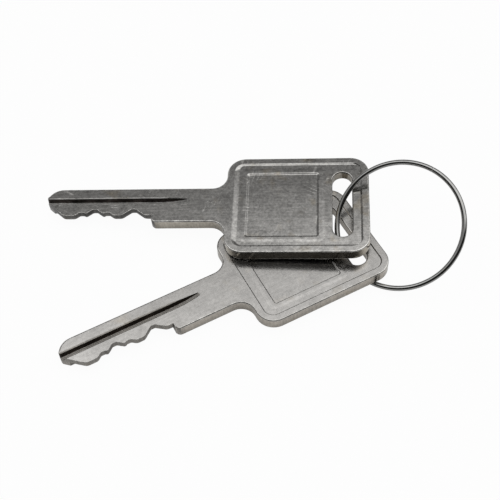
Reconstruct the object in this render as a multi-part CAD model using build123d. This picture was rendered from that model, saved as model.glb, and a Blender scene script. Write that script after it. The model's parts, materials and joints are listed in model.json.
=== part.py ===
from build123d import *
from math import asin, atan2, degrees, hypot, radians, sin, sqrt, tan
import os

# Two flat keys of one blank, cut alike, on one wire ring, lying on a table.
# Millimetres. X runs to the right, Y away from the viewer and Z up from the table.
# A key's own frame has its origin at the middle of the head, on the underside. There x runs from
# the tip to the heel, and y from the cut side of the blade to its straight back.

# Head of a key
head_length = 27.2
head_width = 22.1
head_corner_radius = 3.5
key_thickness = 2.4
edge_chamfer = 0.15

# Slot in the head for the ring
slot_width = 3.75
slot_length = 15.0
slot_from_heel = 5.1

# Coined fields, alike on both faces: a shallow field over the head, with a deeper square in it
field_margin = 1.3
field_corner_radius = 2.0
field_depth = 0.17
square_length = 13.9
square_width = 15.1
square_from_heel = 16.45
square_depth = 0.17
field_wall_lean = 60

# Shank and blade
blade_length = 34.6
shank_width = 7.9
neck_radius = 2.85
shoulder_from_tip = 20.5
shoulder_radius = 0.9
cut_edge_from_middle = 2.35

# Tip of the blade
tip_back_drop = 2.0
tip_back_radius = 3.6
tip_ramp_from_middle = 0.95
tip_ramp_angle = 42.5
tip_ramp_radius = 1.3

# Cuts: the code gives each one's depth in steps, from the tip on
cut_code = (0, 1, 2, 1, 0, 2, 0)
first_cut_from_tip = 4.5
cut_spacing = 2.5
cut_step = 0.7
cut_floor_length = 0.8
cut_flank_angle = 38
cut_rounding = 0.2

# Groove along the top of the blade, milled by a disc cutter that lifts out at its end
groove_back_from_middle = 1.58
groove_width = 1.43
groove_depth = 1.0
groove_back_angle = 82
groove_front_angle = 60
groove_length = 22.0
groove_cutter_radius = 15.0

# Strip milled off the underside, along the cut side of the blade
relief_depth = 1.1
relief_from_middle = 0.1

# How far the milling tools run past the edges of the metal
tool_overrun = 1.0

# Ring: one turn of wire with butted ends
ring_radius = 11.9
wire_diameter = 1.0
ring_end_gap = 0.12

# How the pieces lie: turns in degrees, and the points where they meet
lower_key_heading = 27.69
lower_key_pitch = -0.59
lower_key_roll = -3.28
lower_contact_from_neck = 1.8
lower_contact_from_back = 3.85
upper_key_heading = -2.14
upper_key_roll = -1.36
upper_contact_from_neck = 0.73
upper_contact_from_front = 2.25
key_clearance = 0.12
ring_tilt = 29.32
ring_tilt_heading = -128.12
ring_turn_at_slot = -41.8
ring_gap_turn = 182.0
wire_from_slot_x = -0.9
wire_from_slot_y = -0.7

heel_x = head_length / 2
neck_x = -head_length / 2
tip_x = neck_x - blade_length
back_y = shank_width / 2
ramp_x = tip_x + (tip_ramp_from_middle + cut_edge_from_middle) / tan(radians(tip_ramp_angle))
slot_x = heel_x - slot_from_heel
# The neck's fillets have to end before the head's corners begin
neck_room = 0.98 * (head_width / 2 - head_corner_radius - back_y)


def blade_outline():
    """Flat outline of the shank and blade before they are cut, with a root inside the head."""
    round_run = sqrt(tip_back_radius**2 - (tip_back_radius - tip_back_drop) ** 2)
    shoulder_x = tip_x + shoulder_from_tip
    round_start = (tip_x + round_run, back_y)
    round_end = (tip_x, back_y - tip_back_drop)
    with BuildSketch() as blade:
        with BuildLine():
            Line((0, back_y), round_start)
            TangentArc(round_start, round_end, tangent=(-1, 0))
            Polyline(
                round_end,
                (tip_x, tip_ramp_from_middle),
                (ramp_x, -cut_edge_from_middle),
                (shoulder_x, -cut_edge_from_middle),
                (shoulder_x, -back_y),
                (0, -back_y),
                (0, back_y),
            )
        make_face()
        fillet(blade.vertices().sort_by_distance((shoulder_x, -back_y))[0], shoulder_radius)
    return blade.sketch


def cut_profile(depth):
    """Cutter for one cut: its floor lies at Y 0 and it widens down past the blade's edge."""
    reach = depth + tool_overrun
    flank_run = reach / tan(radians(cut_flank_angle))
    return Polygon(
        (cut_floor_length / 2, 0),
        (-cut_floor_length / 2, 0),
        (-cut_floor_length / 2 - flank_run, -reach),
        (cut_floor_length / 2 + flank_run, -reach),
        align=None,
    )


def key_outline():
    """Flat outline of the whole key, with its cuts."""
    outline = blade_outline()
    for number, steps in enumerate(cut_code):
        depth = steps * cut_step
        cut_x = tip_x + first_cut_from_tip + number * cut_spacing
        if steps:
            outline -= Pos(cut_x, depth - cut_edge_from_middle) * cut_profile(depth)
    edge_corners = outline.vertices().filter_by(lambda v: -cut_edge_from_middle - 0.01 < v.Y < 0)
    outline = fillet(edge_corners.filter_by(lambda v: v.X > ramp_x + 0.01), cut_rounding)
    ramp_corner = outline.vertices().sort_by_distance((ramp_x, -cut_edge_from_middle))[0]
    outline = fillet(ramp_corner, tip_ramp_radius)
    outline += RectangleRounded(head_length, head_width, head_corner_radius)
    neck = outline.vertices().filter_by(lambda v: abs(v.X - neck_x) < 0.01 and abs(v.Y) < back_y + 0.01)
    return fillet(neck, min(neck_radius, neck_room))


def sunk_field(rim, depth):
    """Field sunk into a face at Z 0, with walls that start at its rim and lean inwards."""
    return extrude(rim, amount=-depth, taper=field_wall_lean)


def coined_fields():
    """The two fields of one face of the head, for a face at Z 0."""
    field = RectangleRounded(
        head_length - 2 * field_margin, head_width - 2 * field_margin, field_corner_radius
    )
    square = Pos(heel_x - square_from_heel, 0) * Rectangle(square_length, square_width)
    return sunk_field(field, field_depth) + Pos(0, 0, -field_depth) * sunk_field(square, square_depth)


def blade_groove():
    """Groove for a top face at Z 0: a straight length and the cutter's run-out."""
    back_run = groove_depth / tan(radians(groove_back_angle))
    front_run = groove_depth / tan(radians(groove_front_angle))
    section = Polygon(
        (groove_back_from_middle, 0),
        (groove_back_from_middle - back_run, -groove_depth),
        (groove_back_from_middle - groove_width + front_run, -groove_depth),
        (groove_back_from_middle - groove_width, 0),
        align=None,
    )
    section_plane = Plane(origin=(tip_x + groove_length, 0, 0), x_dir=(0, 1, 0), z_dir=(1, 0, 0))
    section = section_plane * section
    straight = extrude(section, amount=groove_length + tool_overrun, dir=(-1, 0, 0))
    cutter_axis = Axis((tip_x + groove_length, 0, groove_cutter_radius - groove_depth), (0, 1, 0))
    return straight + revolve(section, axis=cutter_axis, revolution_arc=-90)


def cut_key():
    """One key in its own frame."""
    key = extrude(key_outline(), key_thickness)
    slot = Pos(slot_x, 0) * Rot(0, 0, 90) * SlotOverall(slot_length, slot_width)
    key -= extrude(slot, key_thickness)
    levels = key.edges().group_by(Axis.Z)
    key = chamfer(levels[0] + levels[-1], edge_chamfer)
    top = Pos(0, 0, key_thickness)
    fields = top * coined_fields()
    key -= fields
    key -= mirror(fields, about=Plane.XY.offset(key_thickness / 2))
    key -= top * blade_groove()
    relief = Box(
        shoulder_from_tip + tool_overrun,
        back_y + tool_overrun,
        relief_depth + tool_overrun,
        align=(Align.MAX, Align.MAX, Align.MAX),
    )
    return key - Pos(tip_x + shoulder_from_tip, -relief_from_middle, relief_depth) * relief


def turned(heading, pitch, roll):
    """Turn of a piece about its own axes, in that order."""
    return Rot(0, 0, heading) * Rot(0, pitch, 0) * Rot(roll, 0, 0)


def lower_key_place(key):
    """Place of the lower key: its lowest point is on the table."""
    turn = turned(lower_key_heading, lower_key_pitch, lower_key_roll)
    return Pos(0, 0, -(turn * key).bounding_box().min.Z) * turn


def upper_key_place(lower_place):
    """Place of the upper key: its tip is on the table, and its head lies over the lower key's."""
    contact = Vector(neck_x + upper_contact_from_neck, upper_contact_from_front - head_width / 2, 0)
    support = lower_place * Pos(
        neck_x + lower_contact_from_neck, head_width / 2 - lower_contact_from_back, key_thickness
    )
    rest = support.position + Vector(0, 0, key_clearance)
    reach = contact.X - tip_x
    drop = sin(radians(upper_key_roll)) * (contact.Y - back_y + tip_back_drop)
    pitch = degrees(atan2(drop, reach) - asin(rest.Z / hypot(reach, drop)))
    turn = turned(upper_key_heading, pitch, upper_key_roll)
    return Pos(rest) * turn * Pos(-contact)


def ring_place(lower_place):
    """Place of the ring: it leans on the table, and its wire passes through the lower key's slot."""
    turn = Rot(0, 0, ring_tilt_heading) * Rot(0, ring_tilt, 0)
    wire = lower_place * Pos(slot_x + wire_from_slot_x, wire_from_slot_y, key_thickness / 2)
    spoke = turn * Rot(0, 0, ring_turn_at_slot) * Pos(ring_radius, 0, 0)
    centre = wire.position - spoke.position
    centre_height = ring_radius * sin(radians(ring_tilt)) + wire_diameter / 2
    return Pos(centre.X, centre.Y, centre_height) * turn


def wire_ring():
    """The ring about its own axis, with the gap between its ends turned to its place."""
    gap_turn = degrees(ring_end_gap / ring_radius)
    section = Plane.XZ * Pos(ring_radius, 0) * Circle(wire_diameter / 2)
    turn = revolve(section, axis=Axis.Z, revolution_arc=360 - gap_turn)
    return Rot(0, 0, ring_gap_turn) * turn


key = cut_key()
lower_place = lower_key_place(key)
upper_place = upper_key_place(lower_place)
ring_at = ring_place(lower_place)
pieces = {
    "lower_key": lower_place * key,
    "upper_key": upper_place * key,
    "key_ring": ring_at * wire_ring(),
}

# The origin is on the table, under the middle of the pieces' bounding box
bounds = Compound(list(pieces.values())).bounding_box()
to_origin = Pos(-bounds.center().X, -bounds.center().Y, -bounds.min.Z)

os.makedirs("parts", exist_ok=True)
for name, piece in pieces.items():
    export_step(to_origin * piece, f"parts/{name}.step")

ring_frame = to_origin * ring_at
ring_axis = (ring_frame * Pos(0, 0, 1)).position - ring_frame.position
print("ring centre", ring_frame.position, "ring axis", ring_axis)
print("lower key", to_origin * lower_place)
print("upper key", to_origin * upper_place)
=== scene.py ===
import json
from math import atan2, ceil, cos, pi, radians, sin, tan

import bmesh
import bpy
from mathutils import Matrix, Vector
from mathutils.geometry import tessellate_polygon


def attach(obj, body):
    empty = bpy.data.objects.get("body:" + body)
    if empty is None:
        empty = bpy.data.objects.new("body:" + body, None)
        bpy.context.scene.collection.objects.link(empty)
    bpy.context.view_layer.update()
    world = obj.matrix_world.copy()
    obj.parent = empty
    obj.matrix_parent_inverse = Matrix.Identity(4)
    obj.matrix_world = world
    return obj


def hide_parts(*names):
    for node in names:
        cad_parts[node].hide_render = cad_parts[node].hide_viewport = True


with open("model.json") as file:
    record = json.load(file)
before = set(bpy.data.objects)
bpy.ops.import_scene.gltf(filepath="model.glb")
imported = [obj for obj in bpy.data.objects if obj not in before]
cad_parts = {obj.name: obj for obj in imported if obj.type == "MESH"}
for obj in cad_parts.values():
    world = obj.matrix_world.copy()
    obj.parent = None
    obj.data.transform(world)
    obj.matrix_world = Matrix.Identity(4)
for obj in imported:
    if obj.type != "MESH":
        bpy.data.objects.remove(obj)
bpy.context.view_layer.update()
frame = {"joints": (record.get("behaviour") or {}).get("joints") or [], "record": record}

# Lower key
# A flat car key, sheared from brass sheet, coined on both sides of its head, nickel plated and
# tumbled. Its blade is milled with one groove, relieved along the underside and cut to a code.

# Sizes of both keys in millimetres and degrees, in a key's own frame: x from the tip to the heel,
# y towards the straight back, z up from the underside, and the head's middle at x 0, y 0
millimetre = 0.001
key_thickness = 2.4
edge_round = 0.22
far_edge_round = 0.34

# Head, with the slot for the ring
head_length = 27.2
head_width = 22.1
head_corner_radius = 3.5
slot_width = 3.75
slot_length = 15.0
slot_from_heel = 5.1

# Coined field of each face, and the square in it with a faint ledge round it
coining_depth = 0.17
field_margin = 1.3
field_corner_radius = 2.0
square_length = 13.9
square_width = 15.1
square_from_heel = 16.45
square_corner_radius = 0.5
least_floor_radius = 0.15
ledge_width = 1.1
ledge_flank = 0.6
ledge_height = 0.02

# Shank, blade and tip
blade_length = 34.6
shank_width = 7.9
neck_radius = 2.85
shoulder_from_tip = 20.5
shoulder_radius = 0.9
cut_edge = -2.35
tip_end = (0.95, 1.95)
tip_back_radius = 3.2
tip_back_start = 0.99
tip_ramp_angle = 42.5
tip_ramp_radius = 1.3
tip_corner_radius = 0.75

# Groove along the top, with one steep and one leaning wall and a worn rim on its back side
groove_back = 1.58
groove_width = 1.43
groove_depth = 1.0
groove_length = 22.0
groove_back_angle = 82
groove_front_angle = 60
groove_floor_radius = 0.25
groove_rim_width = 0.25
groove_rim_drop = 0.1
groove_rim_radius = 0.1
groove_cutter_radius = 15.0
groove_run_out_turn = 28

# Strip milled off the underside
relief_depth = 1.1
relief_edge = -0.1

# Cuts, whose depths in steps are the code, and the wheel that makes them
cut_code = (0, 1, 2, 1, 0, 2, 0)
first_cut_from_tip = 4.5
cut_spacing = 2.5
cut_step = 0.7
wheel_tip_width = 0.8
wheel_tip_radius = 0.4
wheel_outer_width = 11.04
wheel_reach = 4.0
cut_peak_round = 0.35
burr_break = 0.17

# How far the milling tools run past the metal
tool_overrun = 1.0

heel_x = head_length / 2
neck_x = -head_length / 2
tip_x = neck_x - blade_length
shoulder_x = tip_x + shoulder_from_tip
back_y = shank_width / 2

# Finishes of a key, as the numbers of its materials
plated, sheared, worn, milled, grimy_and_shaded, bitten = range(6)


def rounded_outline(corners, step=radians(7.5)):
    """Closed outline through (x, y, radius) corners, with an arc in each of them."""
    outline = []
    for here, (x, y, radius) in enumerate(corners):
        corner = Vector((x, y))
        if not radius:
            outline.append(corner)
            continue
        behind = (Vector(corners[here - 1][:2]) - corner).normalized()
        ahead = (Vector(corners[(here + 1) % len(corners)][:2]) - corner).normalized()
        half = behind.angle(ahead) / 2
        centre = corner + (behind + ahead).normalized() * (radius / sin(half))
        first = corner + behind * (radius / tan(half)) - centre
        last = corner + ahead * (radius / tan(half)) - centre
        sweep = atan2(first.x * last.y - first.y * last.x, first.dot(last))
        pieces = max(1, ceil(abs(sweep) / step))
        for piece in range(pieces + 1):
            outline.append(centre + Matrix.Rotation(sweep * piece / pieces, 2) @ first)
    return outline


def box_outline(length, width, radius, middle_x=0.0):
    """Rounded rectangle about a point on the key's middle line."""
    x, y = length / 2, width / 2
    return rounded_outline(
        [(middle_x + i * x, j * y, radius) for i, j in ((1, -1), (1, 1), (-1, 1), (-1, -1))]
    )


def blank_outline():
    """Flat outline of the whole key before its cuts."""
    ramp_run = (tip_end[0] - cut_edge) / tan(radians(tip_ramp_angle))
    return rounded_outline(
        [
            (heel_x, -head_width / 2, head_corner_radius),
            (heel_x, head_width / 2, head_corner_radius),
            (neck_x, head_width / 2, head_corner_radius),
            (neck_x, back_y, neck_radius),
            (tip_x + tip_back_start, back_y, tip_back_radius),
            (tip_x, tip_end[1], tip_corner_radius),
            (tip_x, tip_end[0], tip_corner_radius),
            (tip_x + ramp_run, cut_edge, tip_ramp_radius),
            (shoulder_x, cut_edge, 0),
            (shoulder_x, -back_y, shoulder_radius),
            (neck_x, -back_y, neck_radius),
            (neck_x, -head_width / 2, head_corner_radius),
        ]
    )


def worn_rounding(outline):
    """How far the key's rim is rounded over at each point of its outline.

    The machined side of the blade stays sharp here, and is broken after the cutting.
    """
    rounds = []
    for point in outline:
        size = far_edge_round if point.y > 0 else edge_round
        if point.x < shoulder_x + 0.01:
            size = min(max(point.y - tip_end[1], 0.0), size)
        rounds.append(size)
    return rounds


def inset(outline, distances):
    """The outline moved inwards, by a distance for each of its points."""
    moved = []
    for here, point in enumerate(outline):
        arriving = (point - outline[here - 1]).normalized()
        leaving = (outline[(here + 1) % len(outline)] - point).normalized()
        along = (arriving + leaving).normalized()
        inwards = Vector((-along.y, along.x))
        moved.append(point + inwards * distances[here] / max(along.dot(leaving), 0.3))
    return moved


def loop_of(bm, outline, heights):
    """New points along the outline, at a height for each."""
    return [bm.verts.new((p.x, p.y, z)) for p, z in zip(outline, heights)]


def rim_loop(bm, outline, rounds, turn, level, up, inwards=1):
    """One line of points round a worn rim, turned from the face at 0 to the side at 90 degrees."""
    reach = [inwards * size * (1 - sin(turn)) for size in rounds]
    return loop_of(
        bm, inset(outline, reach), [level - up * size * (1 - cos(turn)) for size in rounds]
    )


def skin(bm, loops, finish):
    """Faces between neighbouring loops, with the number of their finish."""
    for low, high in zip(loops, loops[1:]):
        for i in range(len(low)):
            j = (i + 1) % len(low)
            face = bm.faces.new((low[i], low[j], high[j], high[i]))
            face.material_index = finish
            face.smooth = True


def sheet(bm, rims, finish):
    """Flat area inside the first loop and outside the others."""
    verts = [v for rim in rims for v in rim]
    for a, b, c in tessellate_polygon([[v.co.copy() for v in rim] for rim in rims]):
        face = bm.faces.new((verts[a], verts[b], verts[c]))
        face.material_index = finish
        face.smooth = True


def pressed(bm, length, width, radius, middle_x, walls, top, drop):
    """Soft wall of a pressed field, as its rim and its floor's edge.

    The wall's widths are given towards the tip, the heel and the sides.
    """
    tip_wall, heel_wall, side_wall = walls
    rim = box_outline(length, width, radius, middle_x)
    floor = box_outline(
        length - tip_wall - heel_wall,
        width - 2 * side_wall,
        max(radius - tip_wall, least_floor_radius),
        middle_x + (tip_wall - heel_wall) / 2,
    )
    steps = 8
    loops = []
    for s in (k / steps for k in range(steps + 1)):
        outline = [a.lerp(b, s) for a, b in zip(rim, floor)]
        depth = drop * (s + s * s * (3 - 2 * s)) / 2
        loops.append(loop_of(bm, outline, [top - depth] * len(rim)))
    skin(bm, loops, plated)
    return loops[0], loops[-1]


def key_blank(field_walls, square_walls):
    """The whole key before its blade is machined, as a bmesh in millimetres."""
    bm = bmesh.new()
    outline = blank_outline()
    rounds = worn_rounding(outline)
    rim_steps = 4
    turns = [radians(90 * k / rim_steps) for k in range(rim_steps + 1)]
    lower = [rim_loop(bm, outline, rounds, turn, 0.0, -1) for turn in turns]
    upper = [rim_loop(bm, outline, rounds, turn, key_thickness, 1) for turn in reversed(turns)]
    skin(bm, lower, worn)
    skin(bm, [lower[-1], upper[0]], sheared)
    # The sheared side along the cuts takes the cut sides' finish, which is darkened as painted
    # shade
    for face in bm.faces:
        middle = face.calc_center_median()
        if face.material_index == sheared and middle.x < shoulder_x and middle.y < tip_end[1]:
            face.material_index = bitten
    skin(bm, upper, worn)

    # The slot's ends stay a hair short of half circles, so that no side between them has no length
    slot = box_outline(slot_width, slot_length, slot_width / 2 * 0.999, heel_x - slot_from_heel)
    square_x = heel_x - square_from_heel
    slot_loops = []
    for up, level, edge in ((1, key_thickness, upper[-1]), (-1, 0.0, lower[0])):
        field_rim, field_floor = pressed(
            bm, head_length - 2 * field_margin, head_width - 2 * field_margin,
            field_corner_radius, 0.0, field_walls, level, up * coining_depth,
        )
        floor = level - up * coining_depth
        ledge_foot, ledge_top = pressed(
            bm, square_length + 2 * ledge_width, square_width + 2 * ledge_width,
            square_corner_radius + ledge_flank, square_x, [ledge_flank] * 3,
            floor, -up * ledge_height,
        )
        square_rim, square_floor = pressed(
            bm, square_length, square_width, square_corner_radius, square_x, square_walls,
            floor + up * ledge_height, up * (coining_depth + ledge_height),
        )
        mouth = [
            rim_loop(bm, slot, [edge_round] * len(slot), turn, floor, up, -1) for turn in turns
        ]
        skin(bm, mouth, plated)
        slot_loops.append(mouth[-1])
        sheet(bm, [edge, field_rim], plated)
        sheet(bm, [field_floor, ledge_foot, mouth[0]], plated)
        sheet(bm, [ledge_top, square_rim], plated)
        sheet(bm, [square_floor], plated)
    skin(bm, slot_loops, sheared)
    bmesh.ops.remove_doubles(bm, verts=bm.verts, dist=1e-5)
    bmesh.ops.recalc_face_normals(bm, faces=bm.faces)
    return bm


def groove_cutter():
    """What the disc cutter takes out of the top of the blade: a straight length and its run-out."""
    back_run = groove_depth / tan(radians(groove_back_angle))
    front_run = groove_depth / tan(radians(groove_front_angle))
    # The cutter stands proud of the top face by this much
    proud = 0.6
    section = rounded_outline(
        [
            (groove_back + groove_rim_width + proud, proud, 0),
            (groove_back + 2 * groove_rim_width, groove_rim_drop, 0),
            (groove_back, -groove_rim_drop, groove_rim_radius),
            (groove_back - back_run, -groove_depth, groove_floor_radius),
            (groove_back - groove_width + front_run, -groove_depth, groove_floor_radius),
            (groove_back - groove_width - proud * front_run / groove_depth, proud, 0),
        ],
        radians(15),
    )
    bm = bmesh.new()
    loops = [[bm.verts.new((tip_x - tool_overrun, p.x, key_thickness + p.y)) for p in section]]
    for turn in (radians(degree) for degree in range(0, groove_run_out_turn + 1, 2)):
        loops.append([])
        for p in section:
            arm = groove_cutter_radius - groove_depth - p.y
            x = tip_x + groove_length + arm * sin(turn)
            z = key_thickness + groove_cutter_radius - groove_depth - arm * cos(turn)
            loops[-1].append(bm.verts.new((x, p.x, z)))
    skin(bm, loops, 0)
    for end in (loops[0], loops[-1]):
        bm.faces.new(end)
    bmesh.ops.recalc_face_normals(bm, faces=bm.faces)
    # The steep wall takes the cutter's second material: grime that gathers on it, made near black
    # as painted shade in the groove
    for face in bm.faces:
        wall = face.calc_center_median().y - groove_back
        face.material_index = 1 if -back_run - groove_floor_radius / 2 < wall < -0.001 else 0
    return bm


def relief_cutter():
    """The strip milled off the underside, along the cut side."""
    bm = bmesh.new()
    bmesh.ops.create_cube(bm, size=1)
    low = Vector((tip_x - tool_overrun, -back_y - tool_overrun, -tool_overrun))
    high = Vector((shoulder_x, relief_edge, relief_depth))
    for v in bm.verts:
        v.co = [low[i] if v.co[i] < 0 else high[i] for i in range(3)]
    return bm


def new_object(name, bm_or_mesh):
    """Object with this mesh, linked to the scene."""
    mesh = bm_or_mesh
    if isinstance(bm_or_mesh, bmesh.types.BMesh):
        mesh = bpy.data.meshes.new(name)
        bm_or_mesh.to_mesh(mesh)
        bm_or_mesh.free()
    piece = bpy.data.objects.new(name, mesh)
    bpy.context.scene.collection.objects.link(piece)
    return piece


def evaluated_mesh(piece):
    """What the piece's modifiers make of it, as a plain mesh."""
    bpy.context.view_layer.update()
    depsgraph = bpy.context.evaluated_depsgraph_get()
    return bpy.data.meshes.new_from_object(piece.evaluated_get(depsgraph))


def add_node(tree, kind, inputs, **settings):
    """A new node, whose inputs take plain values or other nodes' outputs."""
    node = tree.nodes.new(kind)
    for setting, choice in settings.items():
        setattr(node, setting, choice)
    for name, given in inputs.items():
        if isinstance(given, bpy.types.NodeSocket):
            tree.links.new(given, node.inputs[name])
        else:
            node.inputs[name].default_value = given
    return node


def math_of(tree, operation, *terms):
    """What a math node makes of plain numbers or other nodes' outputs."""
    inputs = dict(enumerate(terms))
    return add_node(tree, "ShaderNodeMath", inputs, operation=operation).outputs[0]


def soft_step(tree, source, start, end, low=0.0, high=1.0):
    """Soft step of the source, from low at start to high at end."""
    limits = {"Value": source, "From Min": start, "From Max": end, "To Min": low, "To Max": high}
    node = add_node(tree, "ShaderNodeMapRange", limits, interpolation_type="SMOOTHSTEP")
    return node.outputs["Result"]


def new_tree(name, sizes):
    """A Geometry Nodes tree with these sizes as named inputs, and what its inputs give."""
    tree = bpy.data.node_groups.new(name, "GeometryNodeTree")
    sockets = tree.interface
    sockets.new_socket("Geometry", in_out="INPUT", socket_type="NodeSocketGeometry")
    for size, value in sizes.items():
        socket = sockets.new_socket(size, in_out="INPUT", socket_type="NodeSocketFloat")
        socket.default_value = value
    sockets.new_socket("Material", in_out="INPUT", socket_type="NodeSocketMaterial")
    sockets.new_socket("Geometry", in_out="OUTPUT", socket_type="NodeSocketGeometry")
    return tree, add_node(tree, "NodeGroupInput", {}).outputs


def end_tree(tree, geometry, material):
    """The end of a tree: its copies are made real and take the material."""
    real = add_node(tree, "GeometryNodeRealizeInstances", {"Geometry": geometry})
    painted = add_node(
        tree, "GeometryNodeSetMaterial", {"Geometry": real.outputs[0], "Material": material}
    )
    add_node(tree, "NodeGroupOutput", {"Geometry": painted.outputs[0]})


def shaped_by(piece, tree, inputs):
    """The mesh that a Geometry Nodes tree makes of a piece, with its inputs set by name."""
    modifier = piece.modifiers.new(piece.name, "NODES")
    modifier.node_group = tree
    for item in tree.interface.items_tree:
        if item.in_out == "INPUT" and item.name in inputs:
            modifier[item.identifier] = inputs[item.name]
    mesh = evaluated_mesh(piece)
    bpy.data.objects.remove(piece)
    return mesh


def cut_row_tree(sizes):
    """Geometry Nodes: the same cutting wheel at each cut of the code, set in by its depth."""
    tree, given = new_tree("row of key cuts", sizes)
    wheel = add_node(
        tree,
        "GeometryNodeCurvePrimitiveQuadrilateral",
        {
            "Height": given["Wheel reach"],
            "Bottom Width": given["Wheel outer width"],
            "Top Width": given["Wheel tip width"],
            "Offset": 0,
        },
        mode="TRAPEZOID",
    )
    soften = add_node(
        tree,
        "GeometryNodeFilletCurve",
        {"Count": 3, "Curve": wheel.outputs["Curve"], "Radius": given["Wheel tip radius"]},
        mode="POLY",
    )
    fill = add_node(
        tree, "GeometryNodeFillCurve", {"Curve": soften.outputs["Curve"]}, mode="NGONS"
    )
    raised = add_node(
        tree,
        "GeometryNodeExtrudeMesh",
        {
            "Individual": False,
            "Mesh": fill.outputs["Mesh"],
            "Offset Scale": given["Cutter height"],
        },
    )
    underside = add_node(tree, "GeometryNodeFlipFaces", {"Mesh": fill.outputs["Mesh"]})
    join = add_node(tree, "GeometryNodeJoinGeometry", {"Geometry": raised.outputs["Mesh"]})
    tree.links.new(underside.outputs["Mesh"], join.inputs["Geometry"])
    closed = add_node(
        tree, "GeometryNodeMergeByDistance", {"Geometry": join.outputs["Geometry"]}
    )
    half_down = math_of(tree, "MULTIPLY", given["Wheel reach"], -0.5)
    to_tip = add_node(tree, "ShaderNodeCombineXYZ", {"Y": half_down, "Z": -tool_overrun})
    centred = add_node(
        tree,
        "GeometryNodeTransform",
        {"Geometry": closed.outputs["Geometry"], "Translation": to_tip.outputs[0]},
    )
    steps = add_node(
        tree, "GeometryNodeInputNamedAttribute", {"Name": "steps"}, data_type="INT"
    ).outputs["Attribute"]
    is_cut = add_node(
        tree, "FunctionNodeCompare", {"A": steps}, data_type="INT", operation="GREATER_THAN"
    )
    depth = math_of(tree, "MULTIPLY_ADD", steps, given["Cut step"], given["Cut edge"])
    set_in = add_node(tree, "ShaderNodeCombineXYZ", {"Y": depth})
    fed = add_node(
        tree,
        "GeometryNodeSetPosition",
        {"Geometry": given["Geometry"], "Offset": set_in.outputs[0]},
    )
    row = add_node(
        tree,
        "GeometryNodeInstanceOnPoints",
        {
            "Points": fed.outputs["Geometry"],
            "Selection": is_cut.outputs[0],
            "Instance": centred.outputs["Geometry"],
        },
    )
    end_tree(tree, row.outputs["Instances"], given["Material"])
    return tree


def cut_row(material):
    """The cutting wheel's passes for the whole code, as an object."""
    mesh = bpy.data.meshes.new("cuts")
    places = [(tip_x + first_cut_from_tip + i * cut_spacing, 0, 0) for i in range(len(cut_code))]
    mesh.from_pydata(places, [], [])
    mesh.attributes.new("steps", "INT", "POINT").data.foreach_set("value", cut_code)
    sizes = {
        "Cut step": cut_step,
        "Cut edge": cut_edge,
        "Wheel tip width": wheel_tip_width,
        "Wheel outer width": wheel_outer_width,
        "Wheel reach": wheel_reach,
        "Wheel tip radius": wheel_tip_radius,
        "Cutter height": key_thickness + 2 * tool_overrun,
    }
    cuts = new_object("cuts", mesh)
    return new_object(
        "cut row", shaped_by(cuts, cut_row_tree(sizes), {**sizes, "Material": material})
    )


def machined_key(materials, field_walls, square_walls):
    """One finished key as a mesh in its own frame, in millimetres.

    The walls of a coined field are given by their widths: towards the tip, the heel and the sides.
    """
    key = new_object("key", key_blank(field_walls, square_walls))
    for material in materials:
        key.data.materials.append(material)
    # The cuts take the cut sides' finish, which is darkened as painted shade
    row = cut_row(materials[bitten])
    groove = new_object("groove", groove_cutter())
    relief = new_object("relief", relief_cutter())
    for cutter in (groove, relief):
        cutter.data.materials.append(materials[milled])
    # The groove's steep wall is near black: some grime, and painted shade
    groove.data.materials.append(materials[grimy_and_shaded])
    for cutter in (row, groove, relief):
        modifier = key.modifiers.new(cutter.name, "BOOLEAN")
        modifier.operation = "DIFFERENCE"
        modifier.solver = "EXACT"
        modifier.use_self = cutter is row
        modifier.material_mode = "TRANSFER"
        modifier.object = cutter
    mesh = evaluated_mesh(key)
    for piece in (key, row, groove, relief):
        bpy.data.objects.remove(piece)

    bm = bmesh.new()
    bm.from_mesh(mesh)
    bmesh.ops.remove_doubles(bm, verts=bm.verts, dist=1e-4)
    bmesh.ops.dissolve_limit(
        bm, angle_limit=radians(0.5), verts=bm.verts, edges=bm.edges, delimit={"MATERIAL"}
    )

    def sharp_edges(upright):
        """Convex edges of the cut side: the upright ones, or those along its top and bottom."""
        found = []
        least_bend = radians(25)
        for e in bm.edges:
            x, y = (max(v.co[i] for v in e.verts) for i in (0, 1))
            if len(e.link_faces) != 2 or not e.is_convex or e.calc_face_angle() < least_bend:
                continue
            if (abs((e.verts[0].co - e.verts[1].co).normalized().z) > 0.9) != upright:
                continue
            if x < shoulder_x - 0.3 and y < -0.5:
                found.append(e)
        return found

    # The peaks between the cuts are rounded first, then the burr is broken off along the cut side
    for upright, size, pieces in ((True, cut_peak_round, 5), (False, burr_break, 3)):
        bmesh.ops.bevel(
            bm,
            geom=sharp_edges(upright),
            offset=size,
            segments=pieces,
            profile=0.5,
            affect="EDGES",
            clamp_overlap=True,
            material=-1 if upright else worn,
        )
    bmesh.ops.remove_doubles(bm, verts=bm.verts, dist=1e-3)
    for face in bm.faces:
        face.smooth = True
    bmesh.ops.triangulate(bm, faces=[f for f in bm.faces if len(f.verts) > 4])
    place = bm.verts.layers.float_vector.new("place")
    for v in bm.verts:
        v[place] = v.co
    bm.to_mesh(mesh)
    bm.free()
    return mesh


def smooth_to_flats(mesh, up):
    """Shades the flats truly flat to their edges, and turns the small round faces to meet them."""
    around = [[] for _ in mesh.vertices]
    for face in mesh.polygons:
        for corner in face.vertices:
            around[corner].append(face)
    level_enough = 0.9995
    sharpest_bend = cos(radians(38))
    flat = [abs(face.normal.dot(up)) > level_enough for face in mesh.polygons]
    normals = []
    for face in mesh.polygons:
        for corner in face.vertices:
            near = [f for f in around[corner] if f.normal.dot(face.normal) > sharpest_bend]
            level = [f for f in near if flat[f.index]]
            total = Vector()
            for f in level or near:
                total += f.normal * f.area
            normals.append((face.normal if flat[face.index] else total).normalized())
    mesh.normals_split_custom_set(normals)


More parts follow.
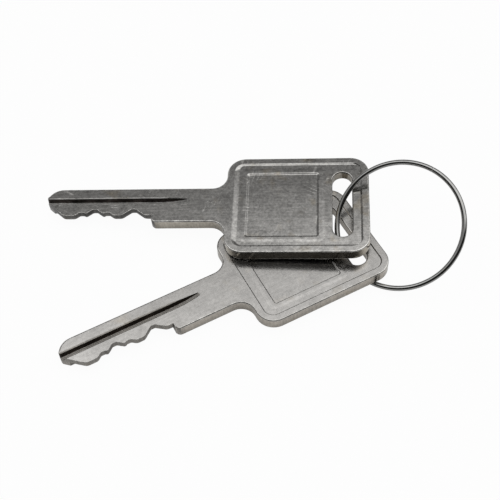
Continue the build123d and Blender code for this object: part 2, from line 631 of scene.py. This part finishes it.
def key_at(name, materials, field_walls, square_walls):
    """A finished key in its place, which the frame's own mounts give."""
    mounts = {m["name"]: m for m in frame["record"]["mounts"]}
    tip, back = mounts[name + "_blade"], mounts[name + "_back"]
    along = -Vector(tip["axis"])
    across = Vector(back["axis"])
    turn = Matrix((along, across, along.cross(across))).transposed()
    origin = Vector(tip["pos_m"]) - turn @ Vector((tip_x, 0, key_thickness / 2)) * millimetre
    mesh = machined_key(materials, field_walls, square_walls)
    mesh.transform(Matrix.LocRotScale(origin, turn, Vector((millimetre,) * 3)))
    smooth_to_flats(mesh, turn.col[2])
    piece = new_object(name + "_metal", mesh)
    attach(piece, name)
    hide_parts(name)
    return piece


def metal(
    name, colour, roughness, mottle, grain, relief, stain,
    streaks=0.0, scratches=0.0, streak_size=(6, 0.22, 3), painted_foot_light=1.0,
):
    """A used metal, patterned on the place in millimetres that each point keeps in its own frame.

    Mottle, grain, streaks and scratches are shares of the colour, relief is in micrometres, and
    stain is the share of brown tarnish where there is most of it. The last argument is the
    colour's share at the bottom of an upright side: painted light graded by height, painted shade
    below 1 and a painted reflection of the floor above 1.
    """
    material = bpy.data.materials.new(name)
    material.use_nodes = True
    tree = material.node_tree
    shader = tree.nodes["Principled BSDF"]
    shader.inputs["Metallic"].default_value = 1
    place = add_node(tree, "ShaderNodeAttribute", {}, attribute_name="place").outputs["Vector"]

    def noise(size, detail, turn=0.0, move=0.0):
        """Noise between about -1 and 1, with features of this size in millimetres."""
        stretched = add_node(
            tree,
            "ShaderNodeMapping",
            {
                "Vector": place,
                "Location": (move, move, 0),
                "Rotation": (0, 0, radians(turn)),
                "Scale": size,
            },
            vector_type="TEXTURE",
        )
        texture = add_node(
            tree,
            "ShaderNodeTexNoise",
            {"Scale": 1, "Detail": detail, "Vector": stretched.outputs["Vector"]},
        )
        return math_of(tree, "MULTIPLY_ADD", texture.outputs["Fac"], 4, -2)

    patches = noise((5, 5, 5), 2)
    blots = noise((1.5, 1.5, 1.5), 2, 20, 7)
    grains = math_of(tree, "MULTIPLY_ADD", blots, 0.7, noise((0.5, 0.5, 0.5), 2))
    lines = noise(streak_size, 2, 2)
    # Scratches run three ways: each is a thin level of long noise, broken off by round patches
    scored = None
    for turn, length, width in ((4, 40, 1.6), (-28, 30, 1.4), (71, 30, 1.3)):
        course = math_of(tree, "ABSOLUTE", noise((length, width, 3), 0, turn, 3 + turn))
        broken = soft_step(tree, noise((3, 3, 3), 1, 0, turn), 0.3, 0.8)
        line = math_of(tree, "MULTIPLY", soft_step(tree, course, 0.09, 0.0), broken)
        scored = line if scored is None else math_of(tree, "MAXIMUM", scored, line)

    # Colour: the base colour, lighter and darker by the patterns, with brown tarnish in places, and
    # graded by height up an upright side as painted light
    tone = math_of(tree, "MULTIPLY_ADD", patches, mottle, 1)
    tone = math_of(tree, "MULTIPLY_ADD", grains, grain, tone)
    tone = math_of(tree, "MULTIPLY_ADD", lines, streaks, tone)
    tone = math_of(tree, "MULTIPLY_ADD", scored, scratches, tone)
    # Painted light by height: the colour is scaled from its share at the bottom of an upright side
    # to full at the top
    if painted_foot_light != 1:
        height = add_node(tree, "ShaderNodeSeparateXYZ", {0: place}).outputs["Z"]
        tone = math_of(tree, "MULTIPLY", tone, soft_step(tree, height, 0.1, 1.9, painted_foot_light, 1.0))
    tint = add_node(
        tree,
        "ShaderNodeVectorMath",
        {0: colour, "Scale": math_of(tree, "MAXIMUM", tone, 0.1)},
        operation="SCALE",
    ).outputs["Vector"]
    tarnish = add_node(
        tree, "ShaderNodeVectorMath", {0: tint, 1: (0.95, 0.87, 0.74)}, operation="MULTIPLY"
    ).outputs["Vector"]
    stained = add_node(
        tree,
        "ShaderNodeMix",
        {
            "Factor": soft_step(tree, noise((3.5, 3.5, 3.5), 3, 0, 11), 0.2, 1.1, 0.0, stain),
            "A": tint,
            "B": tarnish,
        },
        data_type="VECTOR",
    )
    tree.links.new(stained.outputs["Result"], shader.inputs["Base Color"])

    # Roughness: a little lower on the light patches, and higher in the scratches
    dull = math_of(tree, "MULTIPLY_ADD", patches, -0.04, roughness)
    dull = math_of(tree, "MULTIPLY_ADD", scored, 0.1, dull)
    tree.links.new(dull, shader.inputs["Roughness"])

    # Relief: broad waves, fine grain, streaks and sunk scratches
    height = math_of(tree, "MULTIPLY_ADD", patches, 2.0, grains)
    height = math_of(tree, "MULTIPLY_ADD", lines, 0.5, height)
    height = math_of(tree, "MULTIPLY_ADD", scored, -1.0, height)
    bump = add_node(tree, "ShaderNodeBump", {"Distance": relief * 1e-6, "Height": height})
    tree.links.new(bump.outputs["Normal"], shader.inputs["Normal"])
    return material


# Grain of the sheared and cut sides, which runs up them, and of the groove, which runs along it
up_the_side = (0.35, 0.35, 4)
along_the_groove = (9, 0.15, 0.15)

# Satin nickel, in the order of the finishes
bright_set = [
    metal(
        "bright nickel", (0.442, 0.431, 0.415), 0.24,
        mottle=0.05, grain=0.12, streaks=0.07, scratches=0.08, relief=0.2, stain=0.5,
    ),
    # Sheared sides: darker towards the bottom as painted shade
    metal(
        "bright key edge", (0.44, 0.407, 0.36), 0.16,
        mottle=0.1, grain=0.15, streaks=0.15, scratches=0.1, relief=0.6, stain=0.7,
        streak_size=up_the_side, painted_foot_light=0.75,
    ),
    metal(
        "bright worn edge", (0.42, 0.41, 0.39), 0.25,
        mottle=0.15, grain=0.3, relief=0.3, stain=0.3,
    ),
    metal(
        "bright milled groove", (0.23, 0.218, 0.2), 0.45,
        mottle=0.2, grain=0.1, streaks=0.25, relief=0.5, stain=1.0,
        streak_size=along_the_groove,
    ),
    # Groove wall: grime, and painted shade in the groove
    metal(
        "bright grime and painted shade", (0.07, 0.058, 0.05), 0.6,
        mottle=0.4, grain=0.2, streaks=0.4, relief=0.5, stain=1.0,
    ),
    # Cut sides: darker than the sheared sides as painted shade, and lighter at the bottom as a
    # painted reflection of the floor
    metal(
        "bright cut edge in painted shade", (0.24, 0.228, 0.21), 0.4,
        mottle=0.15, grain=0.15, streaks=0.25, relief=0.6, stain=0.5,
        streak_size=up_the_side, painted_foot_light=1.6,
    ),
]
lower_key = key_at("lower_key", bright_set, (0.2, 0.25, 0.2), (0.2, 0.25, 0.2))

# Upper key
# The second key of the pair, of the same blank and cut alike, with duller and more scratched
# plating. Its head lies across the other key's head, and its tip rests on the table.

# Worn nickel, in the order of the finishes
dull_set = [
    metal(
        "dull nickel", (0.37, 0.362, 0.348), 0.15,
        mottle=0.13, grain=0.26, streaks=0.16, scratches=0.3, relief=0.4, stain=0.9,
    ),
    # Sheared sides: darker towards the bottom as painted shade
    metal(
        "dull key edge", (0.40, 0.37, 0.32), 0.1,
        mottle=0.15, grain=0.2, streaks=0.15, scratches=0.1, relief=0.6, stain=1.0,
        streak_size=up_the_side, painted_foot_light=0.75,
    ),
    # Rounded rims: lighter than the plating from wear, and lighter still as a painted highlight
    # along the edges
    metal(
        "dull worn edge with painted highlight", (0.5, 0.49, 0.47), 0.25,
        mottle=0.2, grain=0.4, relief=0.3, stain=0.5,
    ),
    metal(
        "dull milled groove", (0.28, 0.275, 0.265), 0.5,
        mottle=0.15, grain=0.2, streaks=0.3, relief=0.5, stain=0.8,
        streak_size=along_the_groove,
    ),
    # Groove wall: grime, and painted shade in the groove
    metal(
        "dull grime and painted shade", (0.09, 0.078, 0.073), 0.6,
        mottle=0.6, grain=0.4, streaks=0.5, relief=0.5, stain=1.0,
    ),
    # Cut sides: far darker as painted shade, and lighter at the bottom as a painted reflection of
    # the floor
    metal(
        "dull cut edge in painted shade", (0.11, 0.107, 0.103), 0.4,
        mottle=0.2, grain=0.2, streaks=0.3, relief=0.6, stain=0.8,
        streak_size=up_the_side, painted_foot_light=3.5,
    ),
]
upper_key = key_at("upper_key", dull_set, (1.15, 0.4, 0.4), (0.5, 0.45, 0.4))

# Key ring
# One turn of plated spring wire with butted ends, threaded through the slots of both keys. It
# leans on the table and on the lower key.

ring_radius = 11.9
wire_diameter = 1.0
ring_end_gap = 0.12
ring_tilt = 29.32
ring_tilt_heading = -128.12
ring_gap_turn = 182.0
points_round_ring = 193
points_round_wire = 24


def wire_ring_tree(sizes):
    """Geometry Nodes: a round wire bent once round, short of closing by the gap."""
    tree, given = new_tree("wire ring", sizes)
    gap_sweep = math_of(tree, "DIVIDE", given["Gap"], given["Ring radius"])
    bend = add_node(
        tree,
        "GeometryNodeCurveArc",
        {
            "Resolution": points_round_ring,
            "Radius": given["Ring radius"],
            "Start Angle": given["Gap turn"],
            "Sweep Angle": math_of(tree, "SUBTRACT", 2 * pi, gap_sweep),
        },
        mode="RADIUS",
    )
    wire = add_node(
        tree,
        "GeometryNodeCurvePrimitiveCircle",
        {"Resolution": points_round_wire, "Radius": given["Wire radius"]},
        mode="RADIUS",
    )
    drawn = add_node(
        tree,
        "GeometryNodeCurveToMesh",
        {
            "Fill Caps": True,
            "Curve": bend.outputs["Curve"],
            "Profile Curve": wire.outputs["Curve"],
        },
    )
    end_tree(tree, drawn.outputs["Mesh"], given["Material"])
    return tree


ring_sizes = {
    "Ring radius": ring_radius,
    "Wire radius": wire_diameter / 2,
    "Gap": ring_end_gap,
    "Gap turn": radians(ring_gap_turn),
}
ring_wire = metal(
    "ring wire", (0.32, 0.32, 0.312), 0.06,
    mottle=0.06, grain=0.1, scratches=0.15, relief=0.1, stain=0.4,
)
wire = new_object("wire", bpy.data.meshes.new("wire"))
ring_mesh = shaped_by(wire, wire_ring_tree(ring_sizes), {**ring_sizes, "Material": ring_wire})
ring_place = ring_mesh.attributes.new("place", "FLOAT_VECTOR", "POINT")
for vertex in ring_mesh.vertices:
    ring_place.data[vertex.index].vector = vertex.co
ring_joint = next(j for j in frame["joints"] if j["name"] == "ring_turn")
heading = Matrix.Rotation(radians(ring_tilt_heading), 3, "Z")
lean = Matrix.Rotation(radians(ring_tilt), 3, "Y")
ring_mesh.transform(
    Matrix.LocRotScale(Vector(ring_joint["pos_m"]), heading @ lean, Vector((millimetre,) * 3))
)
closed_wire = bmesh.new()
closed_wire.from_mesh(ring_mesh)
bmesh.ops.remove_doubles(closed_wire, verts=closed_wire.verts, dist=1e-7)
bmesh.ops.recalc_face_normals(closed_wire, faces=closed_wire.faces)
for wire_face in closed_wire.faces:
    wire_face.smooth = len(wire_face.verts) == 4
closed_wire.to_mesh(ring_mesh)
closed_wire.free()
ring_mesh.set_sharp_from_angle(angle=radians(40))
key_ring = new_object("key_ring_wire", ring_mesh)
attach(key_ring, "key_ring")
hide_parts("key_ring")

# Table
# A plain white table top, far larger than the view. It takes the keys' soft shadow, shows as
# white to the camera, and is seen in the metal at a share of that brightness.

table_half_width = 3
white_to_camera = 0.96
white_in_metal = 0.32

table_grid = bmesh.new()
bmesh.ops.create_grid(table_grid, x_segments=1, y_segments=1, size=table_half_width)
floor = new_object("table_top", table_grid)
floor_white = bpy.data.materials.new("white table")
floor_white.use_nodes = True
floor_tree = floor_white.node_tree
floor_shader = floor_tree.nodes["Principled BSDF"]
floor_shader.inputs["Base Color"].default_value = (0.9, 0.9, 0.9, 1)
floor_shader.inputs["Roughness"].default_value = 0.9
floor_shader.inputs["Specular IOR Level"].default_value = 0
ray = add_node(floor_tree, "ShaderNodeLightPath", {}).outputs
mirrored = math_of(floor_tree, "MAXIMUM", ray["Is Glossy Ray"], ray["Is Transmission Ray"])
in_metal = math_of(floor_tree, "MULTIPLY", mirrored, white_in_metal)
share = math_of(floor_tree, "MULTIPLY_ADD", ray["Is Camera Ray"], white_to_camera, in_metal)
glow = add_node(floor_tree, "ShaderNodeEmission", {"Strength": 1})
seen = add_node(
    floor_tree,
    "ShaderNodeMixShader",
    {0: share, 1: floor_shader.outputs[0], 2: glow.outputs[0]},
)
floor_tree.links.new(seen.outputs[0], floor_tree.nodes["Material Output"].inputs["Surface"])
floor.data.materials.append(floor_white)

# Light
# A wide softbox overhead, a little behind the keys, in a dim room. It is painted on the world, so
# that the flat metal mirrors its soft edges.

softbox_strength = 1.62

world = bpy.data.worlds.new("soft dome")
bpy.context.scene.world = world
world.use_nodes = True
sky = world.node_tree
direction = add_node(sky, "ShaderNodeTexCoord", {}).outputs["Generated"]
toward = add_node(sky, "ShaderNodeSeparateXYZ", {0: direction}).outputs
# Where each direction meets a ceiling one unit up: side to the right, back away from the camera
above = math_of(sky, "MAXIMUM", toward["Z"], 0.001)
side = math_of(sky, "DIVIDE", toward["X"], above)
back = math_of(sky, "DIVIDE", toward["Y"], above)
# The softbox's back edge slants, more to the right of the middle, and bends away on the left
right_half = math_of(sky, "MAXIMUM", side, 0.0)
far_left = math_of(sky, "MAXIMUM", math_of(sky, "SUBTRACT", -0.45, side), 0.0)
back_edge = math_of(sky, "SUBTRACT", back, math_of(sky, "MULTIPLY", side, 0.11))
back_edge = math_of(sky, "SUBTRACT", back_edge, math_of(sky, "MULTIPLY", right_half, 0.08))
back_edge = math_of(sky, "SUBTRACT", back_edge, math_of(sky, "MULTIPLY", far_left, 0.5))
front_edge = math_of(sky, "SUBTRACT", back, soft_step(sky, side, -0.2, -0.7, 0.0, 0.2))
softbox = math_of(
    sky,
    "MULTIPLY",
    soft_step(sky, back_edge, 0.835, 0.66),
    soft_step(sky, front_edge, -0.5, -0.05),
)
# It is dimmer on the left, fades out at both ends and stops above the horizon
for fade in (
    soft_step(sky, side, -1.2, -0.5, 0.3, 1.0),
    soft_step(sky, side, 2.2, 1.4),
    soft_step(sky, side, -3.5, -2.5),
    soft_step(sky, toward["Z"], 0.0, 0.05),
):
    softbox = math_of(sky, "MULTIPLY", softbox, fade)
room = soft_step(sky, back, -0.1, 0.6, 0.02, 0.15)
background = sky.nodes["Background"]
background.inputs["Strength"].default_value = softbox_strength
sky.links.new(math_of(sky, "MAXIMUM", softbox, room), background.inputs["Color"])

# Camera
# At the photograph's distance and height, straight in front of the keys and looking down on them.

camera_place = (-0.310, -107.902, 173.27)
camera_elevation = 57.24
camera_lens = 78.04
sensor_width = 36

camera = bpy.data.objects.new("camera", bpy.data.cameras.new("camera"))
bpy.context.scene.collection.objects.link(camera)
camera.data.sensor_width = sensor_width
camera.data.lens = camera_lens
camera.data.clip_start = 0.01
camera.location = Vector(camera_place) * millimetre
camera.rotation_euler = (radians(90 - camera_elevation), 0, 0)
bpy.context.scene.camera = camera
bpy.context.scene.view_settings.view_transform = "Standard"
